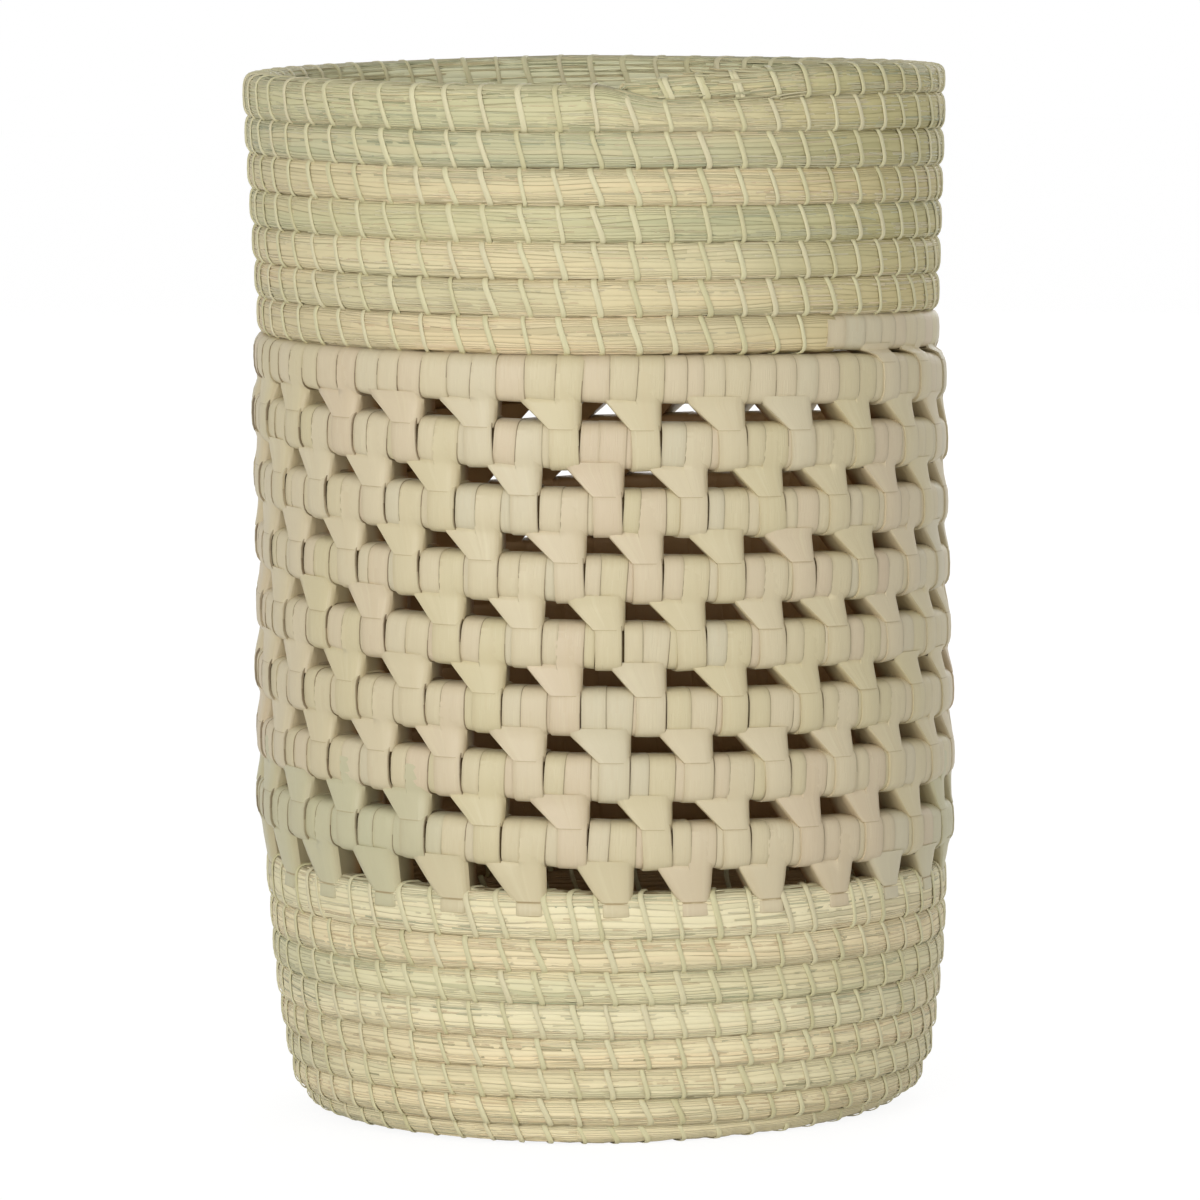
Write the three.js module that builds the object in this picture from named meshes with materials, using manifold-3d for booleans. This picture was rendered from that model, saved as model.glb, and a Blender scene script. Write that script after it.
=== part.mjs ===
// A woven palm leaf vase: one long bundle of grass, coiled from the middle of the
// base to the rim. The base and both walls are grass rows sewn tight together. Between
// them the bundle is wrapped in broad palm strips, and knots hold its turns apart.
// Millimetres, +Z up, the front towards -Y. The origin is the centre of the underside.

import * as THREE from 'three';
import Module from 'manifold-3d';

const wasm = await Module();
wasm.setup();

// The wall: its outside radius in the openwork, how far inside or outside it the rest lies,
// and how far the second row stands out over the first
const openworkRadius = 107.9;
const footInset = 15.5;
const kneeInset = 6.2;
const shoulderInset = 2.3;
const waistInset = 1.9;
const rimFlare = 1.3;
const footStep = 7;

// The bundle: its thickness in each part of the vase
const lowerBundle = 9.5;
const upperBundle = 10.6;
const wrappedHeight = 14.6;
const wrappedDepth = 13;

// The flat share of a grass bundle's top and bottom, and of a wrapped row's front and back
const flatShare = 0.68;
const cheekShare = 0.56;

// Air between the rows: sewn rows, wrapped rows, and the first wrapped row over the grass
const sewnGap = 0.5;
const openGap = 5.4;
const shoulderGap = 6.4;
const endGap = 0.3;

// The coil is counted in turns. Whole numbers pass the front, and it climbs to the left.
const lowerRows = 7;
const openworkRows = 8;
const upperRows = 6;
const wrapStart = 0.36;
const wrapEnd = -0.114;
const coilEnd = -0.034;
const backTurn = 0.5;

// The coil starts as a thin end, curled up tight in the middle of the base
const eyeInside = 0.5;
const eyeOutside = 2.1;
const eyeHeight = 6;
const eyeCurl = 0.7;

// The coil swells where the wraps begin, and thins again where they end
const swellLength = 0.2;
const thinLength = 0.386;

// The wrapped rows dip on the right of the front, most under the first grass row
const dipDepth = 4;
const dipCentre = -0.21;
const dipReach = 0.2;

// The rim row fills out, then thins to a tail that is sewn down on the row below it
const rimHeight = 12.5;
const tailHeight = 6.5;
const tailLength = 0.07;
const tipShare = 0.25;

// The knots: a strap down the front of the row below, with a collar that flares left
const knotsPerTurn = 26.5;
const strapWidth = 8;
const strapThickness = 1.2;
const strapClearance = 0.35;
const strapDrop = 5.5;
const footDrop = 0.4;
const collarFlare = 7.5;
const collarDepth = 5.5;
const knotRoot = 1.4;
const shortestKnot = 2;
const firstKnot = 7.62;

// Facets: steps in a turn, and the least share of a step that an end may leave
const stepsPerTurn = 24;
const leastStep = 0.2;

const footRadius = openworkRadius - footInset;
const kneeRadius = openworkRadius - kneeInset;
const shoulderRadius = openworkRadius - shoulderInset;
const waistRadius = openworkRadius - waistInset;
const rimRadius = openworkRadius + rimFlare;

const lowerPitch = lowerBundle + sewnGap;
const upperPitch = upperBundle + sewnGap;
const openPitch = wrappedHeight + openGap;

const wallTurn = lowerRows + wrapStart;
const firstOpen = lowerRows + 1;
const lastOpen = firstOpen + openworkRows - 1;
const grassTurn = lastOpen + 1 + wrapEnd;
const thinTurn = grassTurn - thinLength;
const topTurn = lastOpen + 1 + upperRows + 1 + coilEnd;
const eyeTurn = -(footRadius - eyeOutside) / lowerPitch;

// Heights of the bundle's middle at the turns where its climb changes
const footHeight = lowerBundle / 2;
const wallHeight = footHeight + lowerPitch * wallTurn;
const shoulderTop = footHeight + lowerPitch * lowerRows + lowerBundle / 2;
const firstOpenHeight = shoulderTop + shoulderGap + wrappedHeight / 2;
const lastOpenHeight = firstOpenHeight + openPitch * (lastOpen - firstOpen);
const snugRise = (wrappedHeight - upperBundle) / 2;
const grassHeight = lastOpenHeight + upperPitch * (grassTurn - lastOpen) + snugRise;
const rimBottom = grassHeight + upperPitch * (topTurn - grassTurn) - upperBundle / 2;

function mix(a, b, share) {
  return a + (b - a) * share;
}

// A value read off a line of [place, value] stations
function along(stations, place) {
  const last = stations.length - 1;
  if (place <= stations[0][0]) return stations[0][1];
  if (place >= stations[last][0]) return stations[last][1];
  const next = stations.findIndex((station) => station[0] > place);
  const [p0, v0] = stations[next - 1];
  const [p1, v1] = stations[next];
  return mix(v0, v1, (place - p0) / (p1 - p0));
}

// How the bundle's height and depth change along the coil
function bundleHeight(turn) {
  if (turn > topTurn - 1) {
    const tail = topTurn - tailLength;
    const row = along([[topTurn - 1, rimHeight], [tail, tailHeight]], turn);
    return row * along([[tail, 1], [topTurn, tipShare]], turn);
  }
  return along([
    [eyeTurn, eyeHeight],
    [eyeTurn + eyeCurl, lowerBundle],
    [wallTurn, lowerBundle],
    [wallTurn + swellLength, wrappedHeight],
    [thinTurn, wrappedHeight],
    [grassTurn, upperBundle],
  ], turn);
}

function bundleDepth(turn) {
  if (turn > topTurn - tailLength) {
    return upperBundle * along([[topTurn - tailLength, 1], [topTurn, tipShare]], turn);
  }
  return along([
    [eyeTurn, eyeOutside - eyeInside],
    [eyeTurn + eyeCurl, eyeOutside - eyeInside + lowerPitch * eyeCurl],
    [eyeTurn + 1, lowerBundle],
    [wallTurn, lowerBundle],
    [wallTurn + swellLength, wrappedDepth],
    [thinTurn, wrappedDepth],
    [grassTurn, upperBundle],
  ], turn);
}

// The dip of a wrapped row just before it passes the front
function dip(turn) {
  const row = Math.ceil(lastOpen - turn);
  const away = turn - Math.ceil(turn) - dipCentre;
  if (turn >= lastOpen || turn < firstOpen - backTurn || Math.abs(away) > dipReach) return 0;
  const share = 1 - row / openworkRows;
  return dipDepth * share * Math.cos((Math.PI / 2) * (away / dipReach)) ** 2;
}

function middleHeight(turn) {
  if (turn > topTurn - 1) {
    const bottom = grassHeight + upperPitch * (turn - grassTurn) - upperBundle / 2;
    return bottom + bundleHeight(turn) / 2;
  }
  const climb = along([
    [0, footHeight],
    [wallTurn, wallHeight],
    [firstOpen, firstOpenHeight],
    [lastOpen, lastOpenHeight],
    [thinTurn, lastOpenHeight + upperPitch * (thinTurn - lastOpen)],
    [grassTurn, grassHeight],
    [topTurn, rimBottom + upperBundle / 2],
  ], turn);
  return climb - dip(turn);
}

function outsideRadius(turn) {
  return along([
    [0, footRadius],
    [1, footRadius + footStep],
    [2, kneeRadius],
    [wallTurn, shoulderRadius],
    [firstOpen, openworkRadius],
    [lastOpen, openworkRadius],
    [grassTurn, waistRadius],
    [topTurn - 1, rimRadius],
  ], turn);
}

function middleRadius(turn) {
  if (turn < 0) return footRadius + lowerPitch * turn - bundleDepth(turn) / 2;
  const rimDepth = turn > topTurn - tailLength ? upperBundle : bundleDepth(turn);
  return outsideRadius(turn) - rimDepth / 2;
}

// The bundle's middle, seen from above the coil runs clockwise from the front
function middle(turn) {
  const angle = 2 * Math.PI * turn;
  const radius = middleRadius(turn);
  return new THREE.Vector3(-radius * Math.sin(angle), -radius * Math.cos(angle), middleHeight(turn));
}

function outward(turn) {
  const angle = 2 * Math.PI * turn;
  return new THREE.Vector3(-Math.sin(angle), -Math.cos(angle), 0);
}

// Grass bundles are pressed flat against each other, and bulge inside and outside
function grassSection(turn) {
  const reach = bundleDepth(turn) / 2;
  const half = bundleHeight(turn) / 2;
  const flat = flatShare * reach;
  return [[reach, 0], [flat, half], [-flat, half], [-reach, 0], [-flat, -half], [flat, -half]];
}

// Wrapped rows stand free, with a broad front and a round top and bottom
function wrappedSection(turn) {
  const reach = bundleDepth(turn) / 2;
  const half = bundleHeight(turn) / 2;
  const cheek = cheekShare * half;
  return [[reach, -cheek], [reach, cheek], [0, half], [-reach, cheek], [-reach, -cheek], [0, -half]];
}

// The coil is straight between two steps: a point on its middle, and its directions there
function facet(turn) {
  const low = Math.floor(turn * stepsPerTurn + 1e-9) / stepsPerTurn;
  const high = low + 1 / stepsPerTurn;
  return {
    point: middle(low).lerp(middle(high), (turn - low) * stepsPerTurn),
    out: outward((low + high) / 2),
    left: outward((low + high) / 2 + 0.25),
  };
}

function ring(turn, section) {
  const centre = facet(turn).point;
  const out = outward(turn);
  return section(turn).map(([r, z]) => centre.clone().addScaledVector(out, r).setZ(centre.z + z));
}

// Turns at which a stretch of coil has a ring: both ends, and every step between
function ringTurns(from, to) {
  const turns = [from];
  const clear = leastStep / stepsPerTurn;
  for (let step = Math.floor(from * stepsPerTurn) + 1; step < to * stepsPerTurn; step += 1) {
    const turn = step / stepsPerTurn;
    if (turn - from > clear && to - turn > clear) turns.push(turn);
  }
  turns.push(to);
  return turns;
}

// A closed solid through rings of equal count, whose first corner sees all the others
function loft(rings) {
  const sides = rings[0].length;
  const vertices = rings.flat().flatMap((point) => point.toArray());
  const faces = [];
  for (let i = 0; i + 1 < rings.length; i += 1) {
    for (let j = 0; j < sides; j += 1) {
      const a = i * sides + j;
      const b = i * sides + ((j + 1) % sides);
      faces.push(a, b, b + sides, a, b + sides, a + sides);
    }
  }
  const last = (rings.length - 1) * sides;
  for (let j = 1; j + 1 < sides; j += 1) {
    faces.push(0, j + 1, j);
    faces.push(last, last + j, last + j + 1);
  }
  return new wasm.Manifold(new wasm.Mesh({
    numProp: 3,
    vertProperties: new Float32Array(vertices),
    triVerts: new Uint32Array(faces),
  }));
}

// A stretch of coil, with half of the end gap taken off where it meets its neighbour
function coil(from, to, section, cutFrom = true, cutTo = true) {
  const trim = (turn) => endGap / 2 / (2 * Math.PI * middleRadius(turn));
  const start = cutFrom ? from + trim(from) : from;
  const end = cutTo ? to - trim(to) : to;
  return loft(ringTurns(start, end).map((turn) => ring(turn, section)));
}

// Where a strap lies on the row below it: under and over its lower end, then its upper end
function seat(turn) {
  const inner = bundleDepth(turn) / 2 + strapClearance;
  const outer = inner + strapThickness;
  if (turn < wallTurn) {
    const crown = bundleHeight(turn) / 2 + strapClearance;
    const lean = (1 - flatShare) * (bundleDepth(turn) / 2);
    return [[inner, -footDrop], [outer, -footDrop], [outer - lean, crown], [inner - lean, crown]];
  }
  const cheek = cheekShare * (bundleHeight(turn) / 2) + strapClearance;
  return [[inner, -strapDrop], [outer, -strapDrop], [outer, cheek], [inner, cheek]];
}

// A knot hangs from the row above, and clasps the front of the row below. Its strap lies
// flat on its seat, and its collar bends with the row above. The outline starts at the one
// corner that sees all the others: where the strap leaves its seat.
function knot(turn) {
  const reach = bundleDepth(turn) / 2;
  const half = bundleHeight(turn) / 2;
  const below = facet(turn - 1);
  const [innerFoot, outerFoot, outerTop, innerTop] = seat(turn - 1);
  const front = [reach - strapThickness / 2, -cheekShare * half + knotRoot];
  const back = [reach - collarDepth, -half + 2 * knotRoot];
  const side = (strapEdge, collarEdge) => {
    const above = facet(turn + collarEdge / (2 * Math.PI * middleRadius(turn)));
    const onStrap = ([r, z]) => below.point.clone().addScaledVector(below.out, r)
      .addScaledVector(below.left, strapEdge).setZ(below.point.z + z);
    const onCollar = ([r, z]) => above.point.clone().addScaledVector(above.out, r)
      .setZ(above.point.z + z);
    return [...[innerTop, innerFoot, outerFoot, outerTop].map(onStrap), ...[front, back].map(onCollar)];
  };
  const right = -strapWidth / 2;
  const left = strapWidth / 2;
  return loft([side(right, right), side(left, left + collarFlare)]);
}

function gapUnder(turn) {
  const spacing = middleHeight(turn) - middleHeight(turn - 1);
  return spacing - (bundleHeight(turn) + bundleHeight(turn - 1)) / 2;
}

const knotTurn = (count) => firstKnot + count / knotsPerTurn;

// The count of the first knot on a row. Rows meet at the back, just short of a knot.
function rowStart(row) {
  return Math.round((firstOpen - 1 - backTurn + row - firstKnot) * knotsPerTurn);
}

// Where a row of openwork meets the row after it
function rowSeam(row) {
  return knotTurn(rowStart(row)) - strapWidth / (2 * Math.PI * openworkRadius);
}

// One turn of the wrapped coil, with the knots that hang from it
function openworkRow(row) {
  const from = row === 1 ? wallTurn : rowSeam(row);
  const to = Math.min(rowSeam(row + 1), grassTurn);
  const knots = [];
  for (let count = Math.max(rowStart(row), 0); count < rowStart(row + 1); count += 1) {
    const turn = knotTurn(count);
    const room = collarFlare / (2 * Math.PI * openworkRadius);
    if (turn + room < grassTurn && gapUnder(turn) > shortestKnot) knots.push(knot(turn));
  }
  return wasm.Manifold.union([coil(from, to, wrappedSection), ...knots]);
}

// The least distance between two section outlines, both as [radius, height] points
function outlineGap(a, b) {
  const toPoints = (outline) => outline.map((p) => new THREE.Vector3(Math.hypot(p.x, p.y), p.z, 0));
  const pairs = [[toPoints(a), toPoints(b)], [toPoints(b), toPoints(a)]];
  const near = new THREE.Vector3();
  let least = Infinity;
  for (const [points, edges] of pairs) {
    for (let j = 0; j < edges.length; j += 1) {
      const edge = new THREE.Line3(edges[j], edges[(j + 1) % edges.length]);
      for (const point of points) {
        edge.closestPointToPoint(point, true, near);
        least = Math.min(least, near.distanceTo(point));
      }
    }
  }
  return least;
}

// The least gap of the coil to its own next turn, read at every ring
function leastGap(from, to, section, sectionAbove = section) {
  let least = Infinity;
  for (const turn of ringTurns(from, to)) {
    least = Math.min(least, outlineGap(ring(turn, section), ring(turn + 1, sectionAbove)));
  }
  return least;
}

const gapText = (name, gap) => console.log(`${name}: least gap to itself ${gap.toFixed(2)} mm`);
gapText('base spiral', leastGap(eyeTurn, -1, grassSection));
gapText('foot of the wall', leastGap(-1, 0, grassSection));
gapText('lower wall', leastGap(0, wallTurn - 1, grassSection));
gapText('wrapped rows', leastGap(wallTurn, grassTurn - 1, wrappedSection));
gapText('upper wall', leastGap(grassTurn, topTurn - 1, grassSection));
const overGrass = leastGap(wallTurn - 1, wallTurn, grassSection, wrappedSection);
const underGrass = leastGap(grassTurn - 1, grassTurn, wrappedSection, grassSection);
console.log(`wraps over grass ${overGrass.toFixed(2)} mm, wraps under grass ${underGrass.toFixed(2)} mm`);

const grass = () => new THREE.MeshStandardMaterial({ color: 0xc9c594, roughness: 0.75, metalness: 0 });
const palm = () => new THREE.MeshStandardMaterial({ color: 0xdccfae, roughness: 0.55, metalness: 0 });

const vase = new THREE.Group();

function place(name, solid, material) {
  const mesh = solid.getMesh();
  const geometry = new THREE.BufferGeometry();
  geometry.setAttribute('position', new THREE.BufferAttribute(new Float32Array(mesh.vertProperties), 3));
  geometry.setIndex(new THREE.BufferAttribute(new Uint32Array(mesh.triVerts), 1));
  geometry.computeVertexNormals();
  const piece = new THREE.Mesh(geometry, material);
  piece.name = name;
  vase.add(piece);
}

place('base_spiral', coil(eyeTurn, 0, grassSection, false), grass());
place('lower_wall', coil(0, wallTurn, grassSection), grass());

for (let row = 1; row <= openworkRows + 1; row += 1) {
  place(`openwork_row_${row}`, openworkRow(row), palm());
}

place('upper_wall', coil(grassTurn, topTurn, grassSection, true, false), grass());

export default vase;
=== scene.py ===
"""A woven palm leaf vase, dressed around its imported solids.

One bundle of dried grass is coiled from the middle of the base to the rim. The base, the
lower wall and the upper wall are sewn tight with thin strips. Between the walls the bundle
is wrapped in broad palm strips, and knots of the same strips hold its turns apart.

Metres, +Z up, the front towards -Y. The coil is counted in turns: whole turns pass the
front, and the coil climbs to the left.
"""

import math
from collections import namedtuple

import bpy
import numpy as np
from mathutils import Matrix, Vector


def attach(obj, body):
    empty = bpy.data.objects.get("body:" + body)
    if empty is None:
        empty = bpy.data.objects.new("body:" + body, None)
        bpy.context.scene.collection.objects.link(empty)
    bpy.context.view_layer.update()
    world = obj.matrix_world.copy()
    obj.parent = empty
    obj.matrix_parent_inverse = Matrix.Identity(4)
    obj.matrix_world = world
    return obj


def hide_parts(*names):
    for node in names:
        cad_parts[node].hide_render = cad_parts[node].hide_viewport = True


MM = 0.001

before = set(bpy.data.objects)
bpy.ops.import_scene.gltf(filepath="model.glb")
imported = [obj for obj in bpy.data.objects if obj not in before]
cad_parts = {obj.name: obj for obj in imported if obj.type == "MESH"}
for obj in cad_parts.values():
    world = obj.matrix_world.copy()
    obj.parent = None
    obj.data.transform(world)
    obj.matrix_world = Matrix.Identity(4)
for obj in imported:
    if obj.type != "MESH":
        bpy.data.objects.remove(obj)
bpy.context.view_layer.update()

# The wall's outside radius, as the solids have it
OPENWORK_RADIUS = 107.9 * MM
FOOT_RADIUS = OPENWORK_RADIUS - 15.5 * MM
SHOULDER_RADIUS = OPENWORK_RADIUS - 2.3 * MM
WAIST_RADIUS = OPENWORK_RADIUS - 1.9 * MM
RIM_RADIUS = OPENWORK_RADIUS + 1.3 * MM

# The bundle's thickness, and the air between its rows
LOWER_BUNDLE = 9.5 * MM
UPPER_BUNDLE = 10.6 * MM
WRAPPED_HEIGHT = 14.6 * MM
WRAPPED_DEPTH = 13.0 * MM
SEWN_GAP = 0.5 * MM
OPEN_GAP = 5.4 * MM
SHOULDER_GAP = 6.4 * MM
LOWER_PITCH = LOWER_BUNDLE + SEWN_GAP
UPPER_PITCH = UPPER_BUNDLE + SEWN_GAP
OPEN_PITCH = WRAPPED_HEIGHT + OPEN_GAP

# Turns of the coil
WALL_TURN = 7.36
FIRST_OPEN = 8
LAST_OPEN = 15
GRASS_TURN = 15.886
THIN_TURN = GRASS_TURN - 0.386
TOP_TURN = 22.988
SWELL_LENGTH = 0.2
WRAPPED_TURN = WALL_TURN + SWELL_LENGTH
SAG_DEPTH = 6.6 * MM
SAG_REACH = 0.44
TAIL_LENGTH = 0.07
EYE_INSIDE = 0.5 * MM
EYE_OUTSIDE = 2.1 * MM
EYE_HEIGHT = 6.0 * MM
EYE_CURL = 0.7
EYE_TURN = -(FOOT_RADIUS - EYE_OUTSIDE) / LOWER_PITCH

# The tops and the undersides of the sewn rows as the photograph shows them, in millimetres by turns
LOWER_TOPS = [
    (-1, 9.4), (-0.5, 8.2), (0, 7.0), (0.5, 11.0), (1, 15.3), (2, 24.5), (3, 33.8), (4, 44.4), (5, 54.2),
    (6, 63.9), (7, 77.7), (WALL_TURN, 82.4),
]
LOWER_UNDERSIDES = [
    (-1.3, 0), (-0.75, 0.7), (-0.25, 2.2), (0, 1.0), (0.25, 3.4), (0.5, 3.4), (1, 7.0), (2, 15.5), (3, 24.7),
    (4, 34.0), (5, 44.6), (6, 54.4), (7, 64.1), (WALL_TURN, 69.1),
]

# The bundle's height where the lower wall ends, and its middle there and where it is fully wrapped
WALL_END_THICKNESS = 13.3 * MM
WALL_END_MIDDLE = 75.75 * MM
WRAPPED_MIDDLE = 81.4 * MM

# The outside of the rows by turns, a little off that of the solids, as the photograph shows it
FOOT_OUTSIDE = 94.0 * MM
BASE_PITCH = (FOOT_OUTSIDE - EYE_OUTSIDE) / -EYE_TURN
WALL_RADII = [
    (0, 94.0 * MM), (0.25, 95.0 * MM), (0.75, 97.0 * MM), (1.25, 99.0 * MM), (1.75, 100.1 * MM),
    (2.75, 101.6 * MM), (3.75, 102.9 * MM), (4.75, 104.1 * MM), (5.75, 104.8 * MM), (6.75, 105.2 * MM),
    (WALL_TURN, SHOULDER_RADIUS + 0.4 * MM), (FIRST_OPEN, OPENWORK_RADIUS + 0.4 * MM), (10, OPENWORK_RADIUS),
    (12, OPENWORK_RADIUS - 0.9 * MM), (LAST_OPEN, OPENWORK_RADIUS - 0.8 * MM),
    (GRASS_TURN, WAIST_RADIUS - 0.9 * MM), (TOP_TURN - 1, RIM_RADIUS - 1.0 * MM),
]

# The rim's thickness by turns before its end, and how far the end is sunk in the row below
RIM_HEIGHTS = [(-1.14, UPPER_BUNDLE), (-1.012, 8.0 * MM), (-0.995, 12.6 * MM), (-0.72, 11.6 * MM),
               (-0.5, 12.4 * MM), (-0.216, 7.2 * MM), (-0.09, 8.0 * MM), (-0.03, 5.5 * MM), (0.0, 3.0 * MM)]
RIM_START = RIM_HEIGHTS[0][0]
RIM_SINKS = [(RIM_START + 1, 0.0), (-0.02, 1.6 * MM)]

# Heights of the bundle's middle where its climb changes
FOOT_HEIGHT = LOWER_BUNDLE / 2
SHOULDER_TOP = FOOT_HEIGHT + LOWER_PITCH * (FIRST_OPEN - 1) + LOWER_BUNDLE / 2
FIRST_OPEN_HEIGHT = SHOULDER_TOP + SHOULDER_GAP + WRAPPED_HEIGHT / 2
LAST_OPEN_HEIGHT = FIRST_OPEN_HEIGHT + OPEN_PITCH * (LAST_OPEN - FIRST_OPEN)
SNUG_RISE = (WRAPPED_HEIGHT - UPPER_BUNDLE) / 2
GRASS_HEIGHT = LAST_OPEN_HEIGHT + UPPER_PITCH * (GRASS_TURN - LAST_OPEN) + SNUG_RISE
TOP_HEIGHT = GRASS_HEIGHT + UPPER_PITCH * (TOP_TURN - GRASS_TURN)

# Knots, and the strips that wrap the bundle
KNOTS_PER_TURN = 26.5
FIRST_KNOT = 7.62 - 3 / KNOTS_PER_TURN
KNOT_ROWS = 8.62
KNOT_JITTER = 0.9 * MM
SHORTEST_KNOT = 1.2 * MM
STRAP_WIDTH = 8.6 * MM
STRAP_RISE = 0.55 * MM
ROOT_WIDTH = 7.6 * MM
ROOT_SHIFT = 1.3 * MM
WRAP_WIDTH = 7.0 * MM
WRAP_RISE = 0.1 * MM
WRAP_RISE_JITTER = (-0.06, 0.1)
WRAP_SINK = 0.35 * MM
CORE_SINK = 0.35 * MM
CUT_JITTER = (-0.12, 0.12)
STRIP_OVERLAP = 0.8 * MM
COLLAR_FLARE = 8.6 * MM
FLARE_JITTER = (-1.4, 0.8)
FOLDED_SHARE = 0.3
FOOT_WIDTH = 8.2 * MM
FOOT_CLEAR = 5.3 * MM

# How far wrapped rows are sunk, as a share, by turns from the neck's grass and from the lower wall
SINK_BY_NECK = [(0.05, 0), (0.15, 1)]
SINK_BY_WALL = [(0, 0), (SWELL_LENGTH, 1)]

# Sewing strips: where they start, how far they rise near the rim's end, and those on the tail
STITCHES_PER_TURN = 60
STITCH_SPACING = 11.0 * MM
STITCH_WIDTH = 1.6 * MM
STITCH_CORNER = 0.8
STITCH_TWIST = 1.15
FIRST_STITCH = 1.2
STITCH_RISES = [(-0.16, 0.22 * MM), (-0.1, 0.55 * MM)]
TAIL_STITCHES = (0.052, 0.037, 0.02)

# Sides of a band, and the lengths round a bundle that its fibres are laid out on
BAND_SIDES = 24
GRASS_GIRTH = 0.034
WRAPPED_GIRTH = 0.044

# How square the bundles are: 1 is an oval, less is squarer
GRASS_CORNER = 0.62
FOOT_CORNER = 0.95
WRAPPED_CORNER = 0.6

# How far the stems of one grass row press in between those of the next, and those of the base all round
GRASS_SWELL = 0.85 * MM
BASE_SWELL = 0.35 * MM

# Radii between which the strips turn from shaded inside to lit outside
INSIDE_DARK = 0.0955
INSIDE_LIGHT = 0.1005


def along(stations, place):
    """A value read off a line of (place, value) stations."""
    places, values = zip(*stations)
    return float(np.interp(place, places, values))


def bundle_height(turn):
    if turn > TOP_TURN + RIM_START:
        return along(RIM_HEIGHTS, turn - TOP_TURN)
    if -1 < turn < WALL_TURN:
        return (along(LOWER_TOPS, turn) - along(LOWER_UNDERSIDES, turn)) * MM
    return along([
        (EYE_TURN, EYE_HEIGHT), (EYE_TURN + EYE_CURL, LOWER_BUNDLE), (-1, LOWER_BUNDLE),
        (WALL_TURN, WALL_END_THICKNESS), (WRAPPED_TURN, WRAPPED_HEIGHT), (THIN_TURN, WRAPPED_HEIGHT),
        (GRASS_TURN, UPPER_BUNDLE),
    ], turn)


def half_height(turn):
    """Half a row's height as it shows: wrapped rows lie a little flatter, but not against grass."""
    from_neck = min(abs(turn - GRASS_TURN), abs(turn - GRASS_TURN + 1))
    loose = along(SINK_BY_NECK, from_neck) * along(SINK_BY_WALL, turn - WALL_TURN)
    return bundle_height(turn) / 2 - (WRAP_SINK * loose if turn < GRASS_TURN else 0.0)


def bundle_depth(turn):
    if turn > TOP_TURN - TAIL_LENGTH:
        return UPPER_BUNDLE * along([(TOP_TURN - TAIL_LENGTH, 1), (TOP_TURN, 0.25)], turn)
    eye = EYE_OUTSIDE - EYE_INSIDE
    return along([
        (EYE_TURN, eye), (EYE_TURN + EYE_CURL, eye + LOWER_PITCH * EYE_CURL), (EYE_TURN + 1, LOWER_BUNDLE),
        (WALL_TURN, LOWER_BUNDLE), (WRAPPED_TURN, WRAPPED_DEPTH), (THIN_TURN, WRAPPED_DEPTH),
        (GRASS_TURN, UPPER_BUNDLE),
    ], turn)


def sag(turn):
    """How far a row has settled on the right and behind, in the openwork and above it."""
    away = turn - math.ceil(turn) + SAG_REACH
    if turn < FIRST_OPEN or abs(away) > SAG_REACH:
        return 0.0
    row = max(math.ceil(LAST_OPEN - turn), 1)
    share = 1 - row / (LAST_OPEN - FIRST_OPEN + 1)
    return SAG_DEPTH * share * math.cos(math.pi / 2 * away / SAG_REACH) ** 2


def middle_height(turn):
    if turn > TOP_TURN + RIM_START:
        bottom = GRASS_HEIGHT + UPPER_PITCH * (turn - GRASS_TURN) - UPPER_BUNDLE / 2
        return bottom - along(RIM_SINKS, turn - TOP_TURN) + bundle_height(turn) / 2 - sag(turn)
    if -1 < turn < WALL_TURN:
        return along(LOWER_UNDERSIDES, turn) * MM + bundle_height(turn) / 2
    return along([
        (-1, FOOT_HEIGHT), (WALL_TURN, WALL_END_MIDDLE), (WRAPPED_TURN, WRAPPED_MIDDLE),
        (FIRST_OPEN, FIRST_OPEN_HEIGHT), (LAST_OPEN, LAST_OPEN_HEIGHT),
        (THIN_TURN, LAST_OPEN_HEIGHT + UPPER_PITCH * (THIN_TURN - LAST_OPEN)),
        (GRASS_TURN, GRASS_HEIGHT), (TOP_TURN, TOP_HEIGHT),
    ], turn) - sag(turn)


def middle_radius(turn):
    if turn < 0:
        return FOOT_OUTSIDE + BASE_PITCH * turn - bundle_depth(turn) / 2
    depth = UPPER_BUNDLE if turn > TOP_TURN - TAIL_LENGTH else bundle_depth(turn)
    return along(WALL_RADII, turn) - depth / 2


def point_at(turn, out=0.0, up=0.0):
    """A point by the coil: out from the bundle's middle, and above it."""
    angle = 2 * math.pi * turn
    radius = middle_radius(turn) + out
    return Vector((-radius * math.sin(angle), -radius * math.cos(angle), middle_height(turn) + up))


def forward_at(turn):
    step = 0.002
    return (point_at(turn + step) - point_at(turn - step)).normalized()


def beside(turn, distance):
    """The turn that lies this far along the coil."""
    return turn + distance / (2 * math.pi * middle_radius(turn))


def gap_under(turn):
    spacing = middle_height(turn) - middle_height(turn - 1)
    return spacing - (bundle_height(turn) + bundle_height(turn - 1)) / 2


def front_of(turn, rise, corner):
    """How far out the bundle's surface lies, at a height given as a share of half its height."""
    sine = min(abs(rise), 1) ** (1 / corner)
    return bundle_depth(turn) / 2 * (1 - sine * sine) ** (corner / 2)


Knot = namedtuple("Knot", "turn tone flare folded")


def make_knots(random):
    """Every knot from the lowest to the highest. Each hangs from the bundle at its own turn."""
    knots = []
    for count in range(round(KNOT_ROWS * KNOTS_PER_TURN)):
        turn = beside(FIRST_KNOT + count / KNOTS_PER_TURN, random.uniform(-KNOT_JITTER, KNOT_JITTER))
        tone = random.random()
        flare = COLLAR_FLARE + random.uniform(*FLARE_JITTER) * MM
        folded = random.random() < FOLDED_SHARE
        if beside(turn, COLLAR_FLARE) < GRASS_TURN and gap_under(turn) > SHORTEST_KNOT:
            knots.append(Knot(turn, tone, flare, folded))
    return knots


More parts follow.
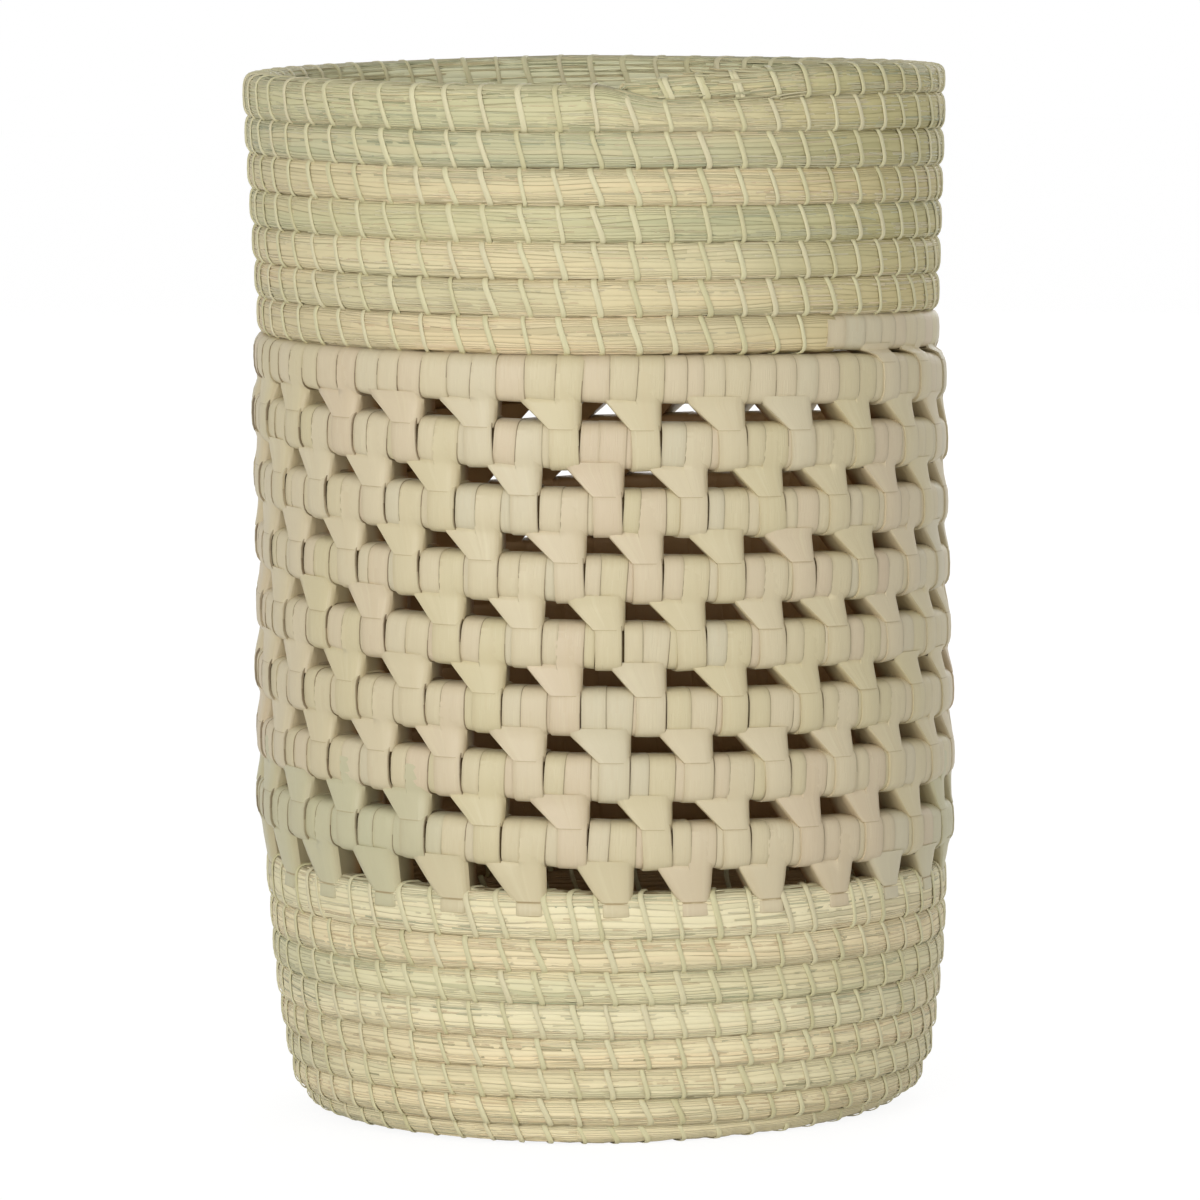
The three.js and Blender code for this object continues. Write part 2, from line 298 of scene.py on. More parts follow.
def feed(socket, value):
    """Links a socket to another one, or sets it to a plain value."""
    if isinstance(value, bpy.types.NodeSocket):
        socket.id_data.links.new(value, socket)
    else:
        socket.default_value = value


def node(tree, kind, *values, **more):
    """Adds a node. Values go to its inputs in order, names with a capital to the inputs so named,
    and other names to its settings."""
    made = tree.nodes.new(kind)
    for key, value in more.items():
        if key[0].islower():
            setattr(made, key, value)
    for socket, value in zip(made.inputs, values):
        feed(socket, value)
    for key, value in more.items():
        if key[0].isupper():
            label = key.replace("_", " ")
            feed(next(s for s in made.inputs if s.name == label and s.enabled), value)
    return made


def output(made, name):
    return next(s for s in made.outputs if s.name == name and s.enabled)


def geometry(tree, kind, **inputs):
    return node(tree, "GeometryNode" + kind, **inputs).outputs[0]


def then(made, kind, **inputs):
    """The next step on what a geometry tree has made."""
    return geometry(made.id_data, kind, Geometry=made, **inputs)


def tree_of(*values):
    """The node tree that the first socket among the values is in."""
    return next(value.id_data for value in values if isinstance(value, bpy.types.NodeSocket))


def maths(operation, a, b=0.0, c=0.0):
    return node(tree_of(a, b, c), "ShaderNodeMath", a, b, c, operation=operation).outputs[0]


def times(value, *others):
    for other in others:
        value = maths("MULTIPLY", value, other)
    return value


def plus(a, b):
    return maths("ADD", a, b)


def minus(a, b):
    return maths("SUBTRACT", a, b)


def vector_maths(operation, a, b=(0, 0, 0)):
    made = node(tree_of(a, b), "ShaderNodeVectorMath", a, operation=operation)
    feed(made.inputs["Scale" if operation == "SCALE" else 1], b)
    return made.outputs["Value" if operation == "LENGTH" else "Vector"]


def parts_of(vector):
    return node(tree_of(vector), "ShaderNodeSeparateXYZ", vector).outputs


def combined(x, y=0.0, z=0.0):
    return node(tree_of(x, y, z), "ShaderNodeCombineXYZ", x, y, z).outputs[0]


def noise(vector, detail, scale=1.0):
    return node(tree_of(vector), "ShaderNodeTexNoise", Vector=vector, Scale=scale, Detail=detail).outputs[0]


def between(value, low, high):
    """0 where the value is at the low end, 1 at the high end, and an even curve between them."""
    made = node(tree_of(value), "ShaderNodeMapRange", value, low, high, interpolation_type="SMOOTHSTEP")
    return made.outputs[0]


def new_tree(name, kind, inputs, outputs):
    """A node tree, and the sockets inside it of its named inputs and outputs."""
    tree = bpy.data.node_groups.new(name, kind)
    for side, sockets in (("INPUT", inputs), ("OUTPUT", outputs)):
        for label, what in sockets.items():
            tree.interface.new_socket(label, in_out=side, socket_type="NodeSocket" + what)
    return tree, tree.nodes.new("NodeGroupInput").outputs, tree.nodes.new("NodeGroupOutput").inputs


def new_geometry_tree(name, inputs):
    inputs = {"Geometry": "Geometry", **inputs, "Material": "Material"}
    return new_tree(name, "GeometryNodeTree", inputs, {"Geometry": "Geometry"})


def end_tree(made, given, result):
    """Gives what the tree has made its material, and puts it out."""
    feed(result[0], then(made, "SetMaterial", Material=given["Material"]))


def own_place(tree):
    return geometry(tree, "InputPosition")


def named(tree, name, kind="FLOAT"):
    return output(node(tree, "GeometryNodeInputNamedAttribute", Name=name, data_type=kind), "Attribute")


def store(made, name, value, kind="FLOAT", domain="POINT"):
    return then(made, "StoreNamedAttribute", Name=name, Value=value, data_type=kind, domain=domain)


def random_value(low, high, seed, salt):
    made = node(seed.id_data, "FunctionNodeRandomValue", Min=low, Max=high, Seed=plus(seed, salt))
    return output(made, "Value")


def rounded(operation, angle, corner):
    """A wave of the angle: its sign, times its size to the power of the corner."""
    wave = maths(operation, angle)
    return times(maths("SIGN", wave), maths("POWER", maths("ABSOLUTE", wave), corner))


def sample_path(path, factor):
    """Where the path is at a share of its length: its middle, way out, section and turn."""
    tree = path.id_data

    def sample(name, kind):
        return node(tree, "GeometryNodeSampleCurve", Curves=path, Value=named(tree, name, kind),
                    Factor=factor, data_type=kind, mode="FACTOR")

    here = sample("section", "FLOAT_VECTOR")
    middle = output(here, "Position")
    out = vector_maths("NORMALIZE", vector_maths("MULTIPLY", middle, (1, 1, 0)))
    return middle, out, parts_of(output(here, "Value")), output(sample("turn", "FLOAT"), "Value")


def on_section(middle, out, section, across, upright, offset):
    """The point that lies this way from the bundle's middle, so far off its surface."""
    reach = times(across, plus(section[0], offset))
    rise = times(upright, plus(section[1], offset))
    place = vector_maths("ADD", middle, vector_maths("SCALE", out, reach))
    return vector_maths("ADD", place, combined(0.0, 0.0, rise))


def keep_above(place, least):
    """The place, or the floor's level where it would be lower."""
    parts = parts_of(place)
    return combined(parts[0], parts[1], maths("MAXIMUM", parts[2], least))


def bundle_tree():
    """A bundle swept along a path whose points hold half its depth, half its height and its corner."""
    tree, given, result = new_geometry_tree("Bundle along a path", {
        "Rings": "Int", "Sides": "Int", "Relief": "Float", "Relief scale": "Float", "Pinch": "Float",
        "Stitches per turn": "Float",
    })
    path = geometry(tree, "MeshToCurve", Mesh=given["Geometry"])
    length = geometry(tree, "CurveLength", Curve=path)
    surface = geometry(tree, "MeshGrid", Size_X=1.0, Size_Y=1.0, Vertices_X=given["Rings"],
                       Vertices_Y=plus(given["Sides"], 1))
    place = parts_of(own_place(tree))
    share = plus(place[0], 0.5)
    around = plus(place[1], 0.5)
    middle, out, section, turn = sample_path(path, share)
    angle = times(around, 2 * math.pi)
    across = rounded("COSINE", angle, section[2])
    upright = rounded("SINE", angle, section[2])

    run = times(share, length)
    seat = combined(times(run, given["Relief scale"]), across, upright)
    lumps = times(minus(noise(seat, 2.0, 1.7), 0.5), given["Relief"])
    stitch_wave = maths("COSINE", times(turn, given["Stitches per turn"], 2 * math.pi))
    squeeze = times(maths("POWER", maths("MAXIMUM", stitch_wave, 0.0), 2.0), given["Pinch"])
    fade = maths("MINIMUM", times(section[1], 300.0), 1.0)
    offset = times(minus(lumps, squeeze), fade)
    surface = store(surface, "fibre_uv", combined(run, times(around, GRASS_GIRTH)), "FLOAT2", "CORNER")
    for name, value in {"facing": across, "crown": upright, "row": turn}.items():
        surface = store(surface, name, value)
    place = keep_above(on_section(middle, out, section, across, upright, offset), 0.15 * MM)
    surface = then(surface, "SetPosition", Position=place)
    surface = then(surface, "MergeByDistance", Distance=0.01 * MM)
    surface = geometry(tree, "FlipFaces", Mesh=surface)
    end_tree(then(surface, "SetShadeSmooth", Shade_Smooth=True), given, result)
    return tree


def band_tree():
    """A band round the bundle at each given place, scaled and leaned as the place says."""
    tree, given, result = new_geometry_tree("Bands round a bundle", {
        "Band": "Object", "Lean": "Float", "Lean variation": "Float", "Width variation": "Float",
        "Seed": "Int",
    })
    band = output(node(tree, "GeometryNodeObjectInfo", Object=given["Band"]), "Geometry")
    turned = node(tree, "FunctionNodeAxesToRotation", Primary_Axis=(0, 0, 1), primary_axis="Z",
                  Secondary_Axis=named(tree, "forward", "FLOAT_VECTOR"), secondary_axis="X").outputs[0]
    leans, widths, seed = given["Lean variation"], given["Width variation"], given["Seed"]
    lean = plus(given["Lean"], random_value(times(leans, -1.0), leans, seed, 1))
    lean = node(tree, "FunctionNodeEulerToRotation", combined(0.0, lean)).outputs[0]
    turned = node(tree, "FunctionNodeRotateRotation", Rotation=turned, Rotate_By=lean,
                  rotation_space="LOCAL").outputs[0]
    width = random_value(minus(1.0, widths), plus(1.0, widths), seed, 2)
    scale = vector_maths("MULTIPLY", named(tree, "size", "FLOAT_VECTOR"), combined(width, 1.0, 1.0))
    places = geometry(tree, "MeshToPoints", Mesh=given["Geometry"])
    bands = geometry(tree, "InstanceOnPoints", Points=places, Instance=band, Rotation=turned, Scale=scale)
    bands = then(bands, "RealizeInstances")
    settled = keep_above(own_place(tree), 0.05 * MM)
    end_tree(then(bands, "SetPosition", Position=settled), given, result)
    return tree


def stem_tree():
    """Single stems laid along the outside of a bundle, their ends lifted clear of it."""
    tree, given, result = new_geometry_tree("Stems along a path", {
        "Count": "Int", "Length": "Float", "Thickness": "Float", "Lift": "Float", "Loose ends": "Float",
        "Spread": "Float", "From": "Float", "To": "Float", "Seed": "Int",
    })
    points_on_stem = 7
    path = geometry(tree, "MeshToCurve", Mesh=given["Geometry"])
    length = geometry(tree, "CurveLength", Curve=path)
    step = (1 / (points_on_stem - 1), 0, 0)
    line = geometry(tree, "MeshLine", Count=points_on_stem, Offset=step)
    seats = geometry(tree, "Points", Count=given["Count"])
    stems = geometry(tree, "InstanceOnPoints", Points=seats, Instance=line)
    spread = given["Spread"]
    chosen = {
        "start": (given["From"], given["To"]), "around": (times(spread, -1.0), spread), "reach": (0.35, 1.3),
        "bend": (-0.62, 0.62), "tone": (0.0, 1.0), "loose": (-0.3, 1.0),
    }
    for salt, (name, (low, high)) in enumerate(chosen.items(), 1):
        stems = store(stems, name, random_value(low, high, given["Seed"], salt), domain="INSTANCE")
    stems = geometry(tree, "MeshToCurve", Mesh=then(stems, "RealizeInstances"))
    share = parts_of(own_place(tree))[0]
    own_length = maths("DIVIDE", times(given["Length"], named(tree, "reach")), length)
    factor = maths("MULTIPLY_ADD", share, own_length, named(tree, "start"))
    middle, out, section, turn = sample_path(path, maths("MINIMUM", factor, 1.0))
    bend = named(tree, "bend")
    angle = maths("MULTIPLY_ADD", share, times(bend, bend, bend), named(tree, "around"))
    across = rounded("COSINE", angle, section[2])
    upright = rounded("SINE", angle, section[2])
    free = times(maths("POWER", share, 3.0), given["Loose ends"])
    free = times(free, maths("MAXIMUM", named(tree, "loose"), 0.0))
    buried = maths("POWER", minus(1.0, share), 8.0)
    lift = minus(plus(given["Lift"], free), times(buried, 0.6 * MM))
    stems = store(stems, "row", turn)
    place = on_section(middle, out, section, across, upright, lift)
    stems = then(stems, "SetPosition", Position=place)
    half = times(given["Thickness"], 0.5)
    ring = geometry(tree, "CurvePrimitiveCircle", Resolution=3, Radius=half, mode="RADIUS")
    stems = geometry(tree, "CurveToMesh", Curve=stems, Profile_Curve=ring, Fill_Caps=True)
    end_tree(stems, given, result)
    return tree


def grow(name, mesh, tree, values):
    """Runs a tree on a mesh, and keeps what it makes as a plain mesh."""
    piece = bpy.data.objects.new(name, mesh)
    bpy.context.collection.objects.link(piece)
    modifier = piece.modifiers.new("Build", "NODES")
    modifier.node_group = tree
    sockets = {item.name: item.identifier for item in tree.interface.items_tree
               if item.item_type == "SOCKET" and item.in_out == "INPUT"}
    for label, value in values.items():
        modifier[sockets[label]] = value
    graph = bpy.context.evaluated_depsgraph_get()
    done = piece.evaluated_get(graph)
    made = bpy.data.meshes.new_from_object(done, preserve_all_data_layers=True, depsgraph=graph)
    piece.modifiers.remove(modifier)
    piece.data = made
    made.name = name
    return piece


def with_attributes(name, points, edges, faces, attributes):
    """A mesh of points, each with its values."""
    mesh = bpy.data.meshes.new(name)
    mesh.from_pydata([tuple(point) for point in points], edges, faces)
    for label, values in attributes.items():
        vector = np.ndim(values[0]) > 0
        layer = mesh.attributes.new(label, "FLOAT_VECTOR" if vector else "FLOAT", "POINT")
        layer.data.foreach_set("vector" if vector else "value", np.array(values, float).ravel())
    return mesh


def finish_strip(mesh, uvs, sharp_degrees):
    mesh.uv_layers.new(name="band_uv").data.foreach_set("uv", np.array(uvs, float).ravel())
    mesh.shade_smooth()
    mesh.set_sharp_from_angle(angle=math.radians(sharp_degrees))


def grass_corner(turn):
    return along([(0.3, FOOT_CORNER), (1.8, GRASS_CORNER)], turn)


def path_mesh(name, start, end, steps_per_turn, corner=None, thicker=0.0, taller=0.0):
    """The bundle's middle line between two turns, closed to nothing at both ends."""
    count = round((end - start) * steps_per_turn)
    turns = [start + (end - start) * i / count for i in range(count + 1)]
    points = [point_at(turn) for turn in turns]
    sections = [(bundle_depth(turn) / 2 + thicker, half_height(turn) + thicker + taller,
                 corner or grass_corner(turn)) for turn in turns]
    close = 0.03 * MM
    first = points[0] - forward_at(turns[0]) * close
    last = points[-1] + forward_at(turns[-1]) * close
    points = [first, *points, last]
    sections = [(0, 0, 1), *sections, (0, 0, 1)]
    turns = [turns[0], *turns, turns[-1]]
    edges = [(i, i + 1) for i in range(len(points) - 1)]
    return with_attributes(name, points, edges, [], {"section": sections, "turn": turns})


def places_mesh(name, places, taller=0.0):
    """The places of bands: (turn, width, extra thickness on each side, tone)."""
    turns = [place[0] for place in places]
    sizes = [(width, bundle_depth(turn) / 2 + extra, half_height(turn) + extra + taller)
             for turn, width, extra, _ in places]
    return with_attributes(name, [point_at(turn) for turn in turns], [], [], {
        "forward": [forward_at(turn) for turn in turns],
        "size": sizes,
        "tone": [place[3] for place in places],
        "green": [green_at(turn) for turn in turns],
    })


def rounded_point(angle, corner):
    c, s = math.cos(angle), math.sin(angle)
    return math.copysign(abs(c) ** corner, c), math.copysign(abs(s) ** corner, s)


def band_shape(name, profile, corner, twist=0.0):
    """A band of unit size about the X axis. The profile gives (across, height), round the strip."""
    vertices, faces, uvs = [], [], []
    count = len(profile)
    for i in range(BAND_SIDES):
        y, z = rounded_point(2 * math.pi * i / BAND_SIDES, corner)
        vertices += [(side + twist * y * z, y * (1 + height), z * (1 + height)) for side, height in profile]
    for i in range(BAND_SIDES):
        after = (i + 1) % BAND_SIDES
        for j in range(count):
            beyond = (j + 1) % count
            faces.append((i * count + j, i * count + beyond, after * count + beyond, after * count + j))
            for side, k in ((i, j), (i, beyond), (i + 1, beyond), (i + 1, j)):
                uvs.append((side / BAND_SIDES * WRAPPED_GIRTH, profile[k][0] + 0.5))
    mesh = with_attributes(name, vertices, [], faces, {})
    finish_strip(mesh, uvs, 40)
    return bpy.data.objects.new(name, mesh)


def new_material(name, roughness, specular):
    material = bpy.data.materials.new(name)
    material.use_nodes = True
    shader = material.node_tree.nodes["Principled BSDF"]
    shader.inputs["Roughness"].default_value = roughness
    shader.inputs["Specular IOR Level"].default_value = specular
    return material, material.node_tree, shader


def streaks_group():
    """Plant fibre: fine streaks, broad streaks and soft patches that run along the first axis."""
    inputs = {"Vector": "Vector", "Shift": "Float", "Run": "Float", "Width": "Float"}
    outputs = {"Fine": "Float", "Broad": "Float", "Patch": "Float"}
    group, given, result = new_tree("Plant fibre", "ShaderNodeTree", inputs, outputs)
    place = parts_of(given["Vector"])
    scales = {"Fine": (1.0, 1.0, 3.0), "Broad": (0.45, 0.3, 2.0), "Patch": (0.5, 0.05, 3.0)}
    for label, (run, width, detail) in scales.items():
        x = times(place[0], given["Run"], run)
        y = times(place[1], given["Width"], width)
        feed(result[label], noise(combined(x, y, given["Shift"]), detail))
    return group


def streaks(group, place, run, width, shift=0.0):
    """Fibre laid out at a place, with the scales of its streaks along it and across it."""
    return node(tree_of(place), "ShaderNodeGroup", node_tree=group, Vector=place, Shift=shift, Run=run,
                Width=width).outputs


def straws_group():
    """Dry straws side by side along the first axis: a tone and a height for each, and their edges."""
    inputs = {"Vector": "Vector", "Straws per metre": "Float"}
    outputs = {"Tone": "Float", "Edge": "Float", "Height": "Float"}
    group, given, result = new_tree("Straws", "ShaderNodeTree", inputs, outputs)
    place = parts_of(given["Vector"])
    drift = noise(combined(times(place[0], 14.0), times(place[1], 160.0)), 1.0)
    strand = plus(times(place[1], given["Straws per metre"]), times(drift, 5.0))
    index = maths("FLOOR", strand)
    start = node(group, "ShaderNodeTexWhiteNoise", W=index, noise_dimensions="1D").outputs["Value"]
    piece = maths("FLOOR", maths("MULTIPLY_ADD", place[0], 13.0, times(start, 9.0)))
    seat = combined(index, piece)
    tone = node(group, "ShaderNodeTexWhiteNoise", Vector=seat, noise_dimensions="2D").outputs["Value"]
    middle = maths("PINGPONG", strand, 0.5)
    feed(result["Tone"], tone)
    feed(result["Edge"], between(middle, 0.17, 0.0))
    feed(result["Height"], plus(maths("SQRT", times(middle, 2.0)), tone))
    return group


def ramp(factor, stops):
    made = node(tree_of(factor), "ShaderNodeValToRGB", factor)
    elements = made.color_ramp.elements
    elements.remove(elements[1])
    elements[0].position = stops[0][0]
    elements[0].color = (*stops[0][1], 1.0)
    for position, colour in stops[1:]:
        elements.new(position).color = (*colour, 1.0)
    return made.outputs[0]


def mix(factor, a, b, blend="MIX"):
    made = node(tree_of(factor, a, b), "ShaderNodeMix", data_type="RGBA", blend_type=blend)
    feed(made.inputs[0], factor)
    for socket, colour in ((made.inputs[6], a), (made.inputs[7], b)):
        feed(socket, (*colour, 1.0) if isinstance(colour, tuple) else colour)
    return made.outputs[2]


def tinted(colour, tint, mask, share):
    """The colour, turned to the tint by this share where the mask is 1."""
    return mix(times(mask, share), colour, tint)


def attribute(tree, name):
    return node(tree, "ShaderNodeAttribute", attribute_name=name).outputs["Fac"]


def uv(tree, name):
    return node(tree, "ShaderNodeUVMap", uv_map=name).outputs[0]


def object_place(tree):
    return node(tree, "ShaderNodeTexCoord").outputs["Object"]


def bump(shader, height, distance, strength=0.6):
    made = node(shader.id_data, "ShaderNodeBump", Height=height, Distance=distance, Strength=strength)
    feed(shader.inputs["Normal"], made.outputs[0])


def inside_mask(tree, inner, outer):
    """1 on what lies nearer the axis than the inner radius, 0 beyond the outer one."""
    level = vector_maths("MULTIPLY", object_place(tree), (1, 1, 0))
    return minus(1.0, between(vector_maths("LENGTH", level), inner, outer))


STRAW = (0.60, 0.54, 0.335)
PALE_STRAW = (0.70, 0.64, 0.43)
TAN = (0.56, 0.44, 0.26)
GREY_GREEN = (0.40, 0.41, 0.26)
DARK_STEM = (0.25, 0.24, 0.13)
PEACH = (0.72, 0.585, 0.36)
NECK_PEACH = (0.78, 0.58, 0.36)
PALE_PEACH = (0.71, 0.61, 0.39)
OLIVE = (0.50, 0.49, 0.28)
PAINTED_SHADE_YELLOW = (0.50, 0.42, 0.15)
LOWER_GRASS = (0.71, 0.65, 0.42)
UPPER_GRASS = (0.57, 0.53, 0.33)
PAINTED_LIGHT_INSIDE = (0.84, 0.85, 0.62)
PAINTED_SHADE_BROWN = (0.16, 0.115, 0.05)
CREAM = (0.61, 0.525, 0.35)
YELLOW_CREAM = (0.585, 0.51, 0.31)
GREY_CREAM = (0.58, 0.52, 0.36)
PINK_CREAM = (0.60, 0.49, 0.335)
LEAF_GREEN = (0.46, 0.46, 0.28)
PAINTED_SHADE_TAN = (0.36, 0.27, 0.14)
SEAM_SHADE_BROWN = (0.13, 0.085, 0.04)
CORE_SHADE_BROWN = (0.085, 0.048, 0.022)
PAINTED_INSIDE_SHADE = (0.36, 0.19, 0.065)
STITCH_TONES = [(0.0, (0.54, 0.50, 0.28)), (0.5, (0.64, 0.60, 0.37)), (1.0, (0.63, 0.57, 0.37))]
PALM_TONES = [(0.0, GREY_CREAM), (0.25, CREAM), (0.5, YELLOW_CREAM), (0.75, CREAM), (1.0, PINK_CREAM)]

# Painted light: how much lighter than its straws each wall is made, the lower wall most, as if more light
# came from below
LOWER_WALL_PAINTED_LIGHT = (1.14, 1.13, 1.12)
UPPER_WALL_PAINTED_LIGHT = (1.05, 1.04, 1.0)

# Colours of the grass rows as they pass the front, from the foot and from the neck up
LOWER_ROWS = [PALE_STRAW, PEACH, STRAW, PEACH, PALE_STRAW, OLIVE, PEACH, PALE_STRAW]
UPPER_ROWS = [NECK_PEACH, PEACH, PALE_PEACH, OLIVE, PEACH, GREY_GREEN, OLIVE, OLIVE]
FIRST_UPPER_ROW = 16


def row_tint(tree, colour):
    """Rows that run greener or more peach than the rest, and long patches within them."""
    row = attribute(tree, "row")
    for first, tints, share in ((0, LOWER_ROWS, 0.28), (FIRST_UPPER_ROW, UPPER_ROWS, 0.42)):
        stops = []
        for step, tint in enumerate(tints):
            stops += [((step + 0.65) / 10, tint), ((step + 1.35) / 10, tint)]
        wall = ramp(times(plus(row, 1.0 - first), 0.1), stops)
        inside = between(maths("ABSOLUTE", minus(row, first + 3.5)), 5.0, 4.9)
        colour = tinted(colour, wall, inside, share)
    for seat, high, tint in ((0.0, 0.66, GREY_GREEN), (5.0, 0.68, PEACH)):
        spot = vector_maths("MULTIPLY", object_place(tree), (9, 9, 62))
        patches = noise(vector_maths("ADD", spot, (seat, seat, seat)), 1.0)
        colour = tinted(colour, tint, between(patches, 0.5, high), 0.3)
    return colour


def grass_material(fibre, straws, name, tint, level):
    material, tree, shader = new_material(name, 0.62, 0.3)
    place = uv(tree, "fibre_uv")
    streak = streaks(fibre, place, 9.0, 900.0)
    straw = node(tree, "ShaderNodeGroup", node_tree=straws, Vector=place, Straws_per_metre=1150.0).outputs
    colour = ramp(straw["Tone"], [
        (0.0, DARK_STEM), (0.06, GREY_GREEN), (0.2, STRAW), (0.55, tint), (0.85, PALE_STRAW), (0.97, PEACH),
    ])
    colour = mix(0.45, colour, tint)
    colour = row_tint(tree, tinted(colour, TAN, between(streak["Broad"], 0.56, 0.7), 0.3))

    facing = attribute(tree, "facing")
    outer = between(facing, -0.5, 0.0)
    # Painted shade: dark lines between the straws, half as strong on the inner side
    gap = times(straw["Edge"], between(streak["Fine"], 0.35, 0.65), maths("MULTIPLY_ADD", outer, 0.5, 0.5))
    colour = tinted(colour, PAINTED_SHADE_BROWN, gap, 0.5)
    # Painted shade in the joints between rows on the outside: a soft line, then short dashes
    crown = attribute(tree, "crown")
    rise = maths("ABSOLUTE", crown)
    joint = times(between(rise, 0.8, 0.9), between(streak["Broad"], 0.3, 0.55), outer)
    colour = tinted(colour, PAINTED_SHADE_BROWN, joint, 0.5)
    dash = noise(combined(times(parts_of(place)[0], 95.0), times(crown, 3.0)), 1.0)
    dash = times(between(rise, 0.84, 0.93), between(dash, 0.5, 0.6), outer)
    colour = tinted(colour, PAINTED_SHADE_BROWN, dash, 0.8)

    # Painted light: the inner faces of the grass rows are made paler
    inner = between(facing, 0.1, -0.7)
    colour = tinted(colour, PAINTED_LIGHT_INSIDE, inner, 0.7)
    # Painted light: the wall's colour is made lighter by its level
    colour = mix(1.0, colour, level, "MULTIPLY")
    # Painted shade: the right side of the upper wall is made darker and more yellow
    spot = parts_of(object_place(tree))
    upper_right = times(between(spot[0], 0.03, 0.1), between(spot[2], 0.1, 0.24))
    colour = tinted(colour, PAINTED_SHADE_YELLOW, upper_right, 0.45)
    # Painted shade: the inside of the lower wall turns dark brown, most of all lowest down
    colour = tinted(colour, PAINTED_INSIDE_SHADE, times(inner, between(spot[2], 0.13, 0.07)), 0.85)
    feed(shader.inputs["Base Color"], colour)
    bump(shader, straw["Height"], 0.3 * MM, 0.8)
    return material


def stem_material():
    material, tree, shader = new_material("grass stem", 0.55, 0.35)
    colour = ramp(attribute(tree, "tone"), [
        (0.0, DARK_STEM), (0.06, GREY_GREEN), (0.25, STRAW), (0.6, PALE_STRAW), (0.85, PEACH), (0.97, TAN),
    ])
    feed(shader.inputs["Base Color"], row_tint(tree, colour))
    return material


def stitch_material(fibre):
    material, tree, shader = new_material("sewing strip", 0.5, 0.4)
    tone = attribute(tree, "tone")
    streak = streaks(fibre, uv(tree, "band_uv"), 120.0, 7.0, times(tone, 40.0))
    colour = tinted(ramp(tone, STITCH_TONES), STRAW, between(streak["Fine"], 0.35, 0.7), 0.3)
    feed(shader.inputs["Base Color"], colour)
    bump(shader, streak["Fine"], 0.2 * MM)
    return material


def palm_material(fibre):
    material, tree, shader = new_material("palm strip", 0.48, 0.4)
    tone = attribute(tree, "tone")
    place = uv(tree, "band_uv")
    streak = streaks(fibre, place, 55.0, 26.0, times(tone, 60.0))
    colour = tinted(ramp(tone, PALM_TONES), PALE_STRAW, between(streak["Fine"], 0.5, 0.75), 0.25)
    colour = tinted(colour, TAN, between(streak["Broad"], 0.5, 0.8), 0.22)
    colour = mix(attribute(tree, "green"), colour, LEAF_GREEN)
    # Painted shade: the strips darker towards both edges, as if arched, and the collars darker at their sides
    # and creases, as their shade attribute says
    across = parts_of(place)[1]
    rolled_edge_shade = times(between(maths("ABSOLUTE", minus(across, 0.5)), 0.28, 0.5), 0.2)
    colour = mix(plus(rolled_edge_shade, attribute(tree, "shade")), colour, PAINTED_SHADE_TAN)
    # Painted shade: a thin dark line along the exposed edge of each strip, broken in places
    seam = times(between(across, 0.05, 0.005), between(streak["Patch"], 0.3, 0.6))
    colour = tinted(colour, SEAM_SHADE_BROWN, seam, 0.85)
    # Painted shade: the inside of the strips turns brown, up to near the top of the openwork
    low_down = between(parts_of(object_place(tree))[2], 0.268, 0.218)
    colour = tinted(colour, PAINTED_INSIDE_SHADE, times(inside_mask(tree, INSIDE_DARK, INSIDE_LIGHT), low_down), 0.9)
    feed(shader.inputs["Base Color"], colour)
    bump(shader, streak["Fine"], 0.25 * MM, 0.6)
    return material


def core_material():
    material, tree, shader = new_material("bundle in shade", 0.8, 0.2)
    # Painted shade: the bundle under the strips is dark brown where it shows through the seams and gaps
    # between them
    colour = ramp(noise(object_place(tree), 3.0, 400.0), [(0.3, CORE_SHADE_BROWN), (0.7, PAINTED_SHADE_BROWN)])
    feed(shader.inputs["Base Color"], colour)
    return material


def finish_piece(piece, slot, *nodes):
    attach(piece, "root")
    if nodes:
        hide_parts(*nodes)


# How green the palm is by turns: a few strips of the lowest wrapped rows
GREEN_STRIPS = [
    (7.70, 0), (7.72, 0.55), (7.80, 0.5), (7.82, 0), (8.07, 0), (8.09, 0.6), (8.26, 0.5), (8.28, 0),
]


def green_at(turn):
    return along(GREEN_STRIPS, turn)


def strip_places(knots, random):
    """Every strip round the wrapped bundle but the straps: the roots of the knots, and plain wraps."""
    spans = [(knot.turn - 1, STRAP_WIDTH, None) for knot in knots if knot.turn - 1 > WALL_TURN]
    spans += [(beside(knot.turn, -ROOT_SHIFT), ROOT_WIDTH, knot.tone) for knot in knots]
    spans.append((GRASS_TURN, 0.0, None))
    places = []
    edge = WALL_TURN

    def add_strip(turn, width, tone):
        extra = WRAP_RISE + random.uniform(*WRAP_RISE_JITTER) * MM
        places.append((beside(turn, -STRIP_OVERLAP / 2), width + STRIP_OVERLAP, extra, tone))

    for turn, width, tone in sorted(spans, key=lambda span: span[0]):
        free = (beside(turn, -width / 2) - edge) * 2 * math.pi * middle_radius(turn)
        count = max(round(free / WRAP_WIDTH), 1)
        cuts = [(i + (random.uniform(*CUT_JITTER) if 0 < i < count else 0)) / count for i in range(count + 1)]
        for near, far in zip(cuts, cuts[1:]):
            if free > 0:
                add_strip(beside(edge, free * (near + far) / 2), free * (far - near), random.random())
        if tone is not None:
            add_strip(turn, width, tone)
        edge = beside(turn, width / 2)
    return places


# How a collar is rounded, across its flap and across its root: (share of the way, how far it falls back)
FLAP_ROUNDING = [(0.0, 0.9 * MM), (0.06, 0.25 * MM), (0.3, 0.0), (0.7, 0.0), (0.98, 0.0)]
ROOT_ROUNDING = [(0.0, 0.0), (0.4, 0.03 * MM), (0.68, 0.3 * MM), (0.87, 0.9 * MM), (1.0, 2.1 * MM)]
FLAT_ROUNDING = 0.3
BURIED = -1.5 * MM

